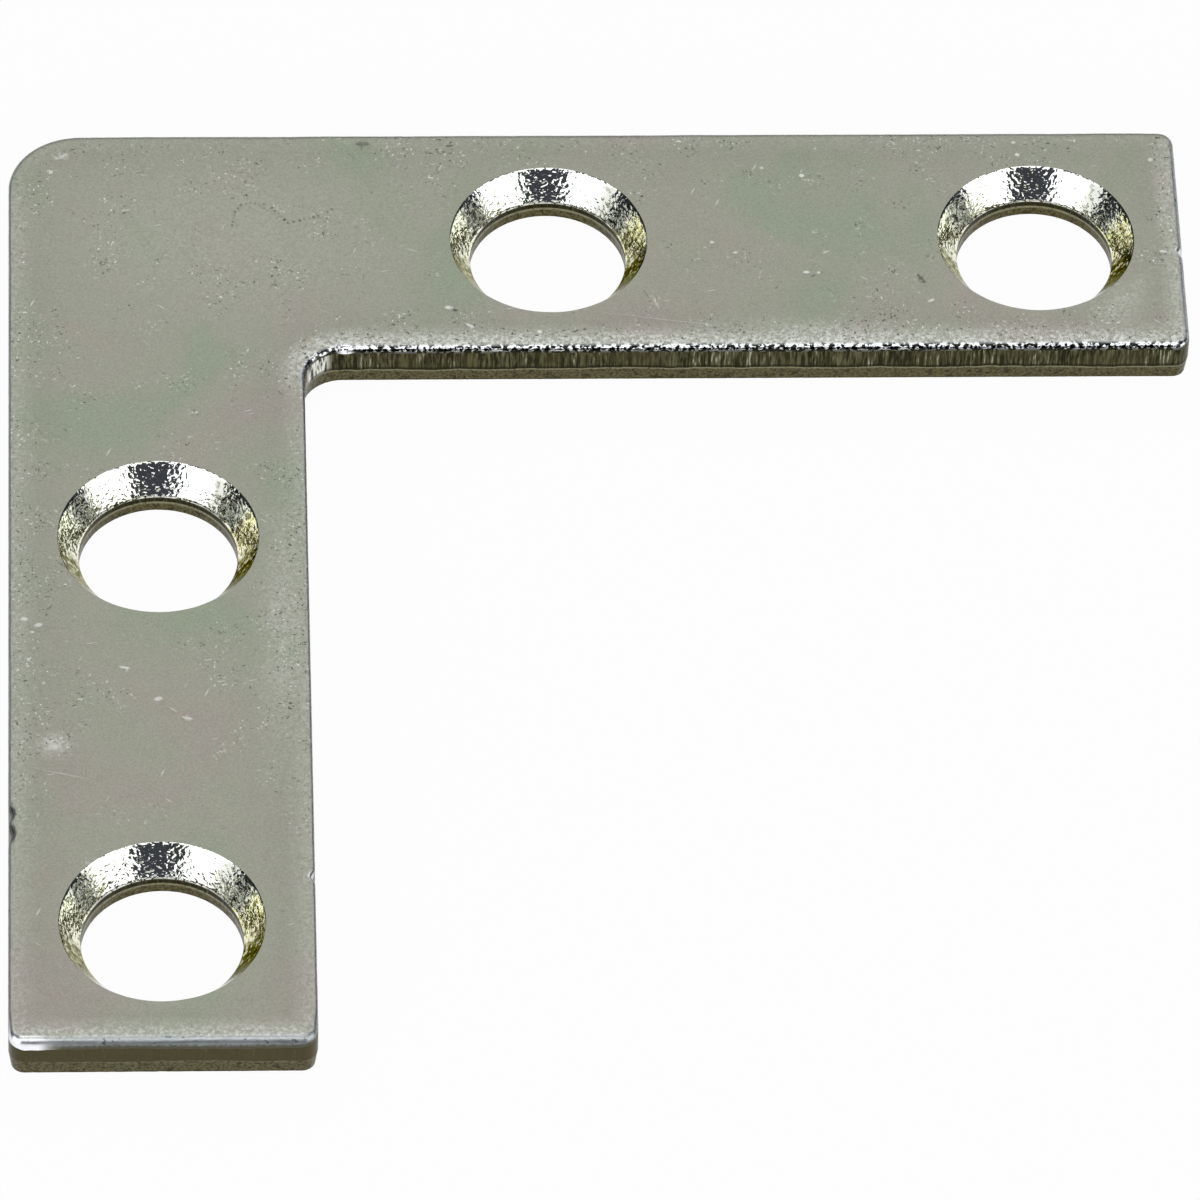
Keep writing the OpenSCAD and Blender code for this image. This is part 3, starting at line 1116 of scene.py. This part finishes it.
def coined_cone():
    """The countersink: pressed bright, finely dimpled, with painted light and shade on its walls."""
    s = Shader("coined_cone")
    facing = s.parts(s.coordinates.outputs["Normal"])
    across = s.maths("ABSOLUTE", facing["X"])
    on_right = s.spread(facing["X"], *RIGHT_SLANT)
    low = s.both(s.spread(facing["Y"], *LOW_SLANT), s.spread(facing["Y"], *LOW_SLANT_END))
    colour = cone_colour(s, across, on_right, low)
    # Painted reflection colour: the low near wall's glancing reflections are tinted olive.
    glancing = s.mix(low, WHITE, s.mix(on_right, LEFT_GLANCING, RIGHT_GLANCING))
    s.put(s.surface.inputs["Specular Tint"], glancing)

    # Deeper dimples glint in the dark middle of the far wall.
    deeper = s.noise(DEEP_DIMPLE_SIZE, s.turned(DEEP_DIMPLE_TURN), detail=0)
    normal = s.bump(s.noise(DIMPLE_SIZE, detail=1), DIMPLE_BUMP)
    middle = s.spread(across, *MIDDLE_SLANT)
    normal = s.bump(s.both(deeper, middle), DEEP_DIMPLE_BUMP, after=normal)
    roughness = s.spread(s.noise(CONE_SHEEN_SIZE), *NOISE_RANGE, *CONE_ROUGHNESS)
    return s.finish(colour, roughness, normal)


# Stage, light and camera

FLOOR_GREY = (0.9, 0.9, 0.9, 1)
FLOOR_ROUGHNESS = 0.9
FLOOR_WHITENING = 0.955
FLOOR_R = 3.0
FLOOR_SIDES = 64
FLOOR_DROP = 0.00002


def floor_material():
    """White where the camera or a reflection meets it, and it keeps the plate's shadow."""
    s = Shader("floor")
    s.surface.inputs["Base Color"].default_value = FLOOR_GREY
    s.surface.inputs["Roughness"].default_value = FLOOR_ROUGHNESS
    path = s.tree.nodes.new("ShaderNodeLightPath")
    seen = s.either(*(path.outputs[f"Is {ray} Ray"] for ray in ("Camera", "Glossy", "Transmission")))
    white = s.tree.nodes.new("ShaderNodeEmission")
    blend = s.tree.nodes.new("ShaderNodeMixShader")
    s.put(blend.inputs["Fac"], s.both(seen, FLOOR_WHITENING))
    s.put(blend.inputs[1], s.surface.outputs["BSDF"])
    s.put(blend.inputs[2], white.outputs["Emission"])
    s.put(s.tree.nodes["Material Output"].inputs["Surface"], blend.outputs["Shader"])
    return s.material


def make_floor():
    """A wide disc, a hair below the plate."""
    angles = [2 * math.pi * n / FLOOR_SIDES for n in range(FLOOR_SIDES)]
    rim = [(FLOOR_R * math.cos(a), FLOOR_R * math.sin(a), -FLOOR_DROP) for a in angles]
    mesh = bpy.data.meshes.new("floor")
    mesh.from_pydata(rim, [], [tuple(range(FLOOR_SIDES))])
    mesh.materials.append(floor_material())
    floor = bpy.data.objects.new("floor", mesh)
    bpy.context.collection.objects.link(floor)


# Lamps: name, azimuth and elevation in degrees, distance, width and height in metres, and how
# bright its face looks, where 1 is white. Azimuth 0 is the camera's side, and +90 is +X.
LAMPS = [
    ("back_light", 180, 52, 1.0, 2.0, 1.15, 1.0),
    ("left_light", -51, 19, 0.9, 0.88, 0.58, 1.7),
    ("right_light", 56, 19, 0.9, 0.80, 0.58, 1.7),
    ("front_light", 3, 47, 0.9, 1.00, 0.40, 1.4),
    ("top_light", 0, 84, 1.1, 0.7, 0.45, 1.6),
]
AMBIENT = (0.047, 0.052, 0.062, 1)


def softbox(name, azimuth, elevation, distance, width, height, level):
    """A rectangular lamp that faces the plate."""
    lamp = bpy.data.lights.new(name, "AREA")
    lamp.shape = "RECTANGLE"
    lamp.size = width
    lamp.size_y = height
    lamp.energy = level * math.pi * width * height
    az, el = math.radians(azimuth), math.radians(elevation)
    ray = Vector((math.sin(az) * math.cos(el), -math.cos(az) * math.cos(el), math.sin(el)))
    facing = ray.to_track_quat("Z", "Y").to_matrix().to_4x4()
    box = bpy.data.objects.new(name, lamp)
    box.matrix_world = Matrix.Translation(ray * distance) @ facing
    bpy.context.collection.objects.link(box)


def make_lights():
    """The softboxes, and a dim world around them."""
    world = bpy.data.worlds.new("studio")
    world.use_nodes = True
    world.node_tree.nodes["Background"].inputs["Color"].default_value = AMBIENT
    bpy.context.scene.world = world
    for lamp in LAMPS:
        softbox(*lamp)


CAMERA_PLACE = Vector((-0.016414, -0.251855, 0.288179))
CAMERA_PITCH = 48.773
CAMERA_YAW = -3.663
CAMERA_ROLL = 2.439
FOCAL_PIXELS = 12058
PHOTO_PIXELS = 1200
SENSOR_MM = 36
CLIP_START = 0.01


def make_camera():
    """Looks down at the plate as the photograph does, from the fitted place."""
    pitch, yaw, roll = (math.radians(v) for v in (CAMERA_PITCH, CAMERA_YAW, CAMERA_ROLL))
    turn_z = Matrix.Rotation(yaw, 3, "Z")
    ahead = turn_z @ Vector((0, math.cos(pitch), -math.sin(pitch)))
    right = turn_z @ Vector((1, 0, 0))
    up = right.cross(ahead)
    side = math.cos(roll) * right + math.sin(roll) * up
    top = -math.sin(roll) * right + math.cos(roll) * up
    data = bpy.data.cameras.new("camera")
    data.sensor_width = SENSOR_MM
    data.lens = FOCAL_PIXELS / PHOTO_PIXELS * SENSOR_MM
    data.clip_start = CLIP_START
    camera = bpy.data.objects.new("camera", data)
    axes = Matrix((side, top, -ahead)).transposed().to_4x4()
    camera.matrix_world = Matrix.Translation(CAMERA_PLACE) @ axes
    bpy.context.collection.objects.link(camera)
    bpy.context.scene.camera = camera


make_camera()
make_lights()
make_floor()
plate = build_plate("corner_brace")
for material in (plated_face(), sheared_edge(), coined_cone()):
    plate.data.materials.append(material)
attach(plate, "root")
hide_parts("brace_plate")

bpy.context.scene.view_settings.view_transform = "Standard"
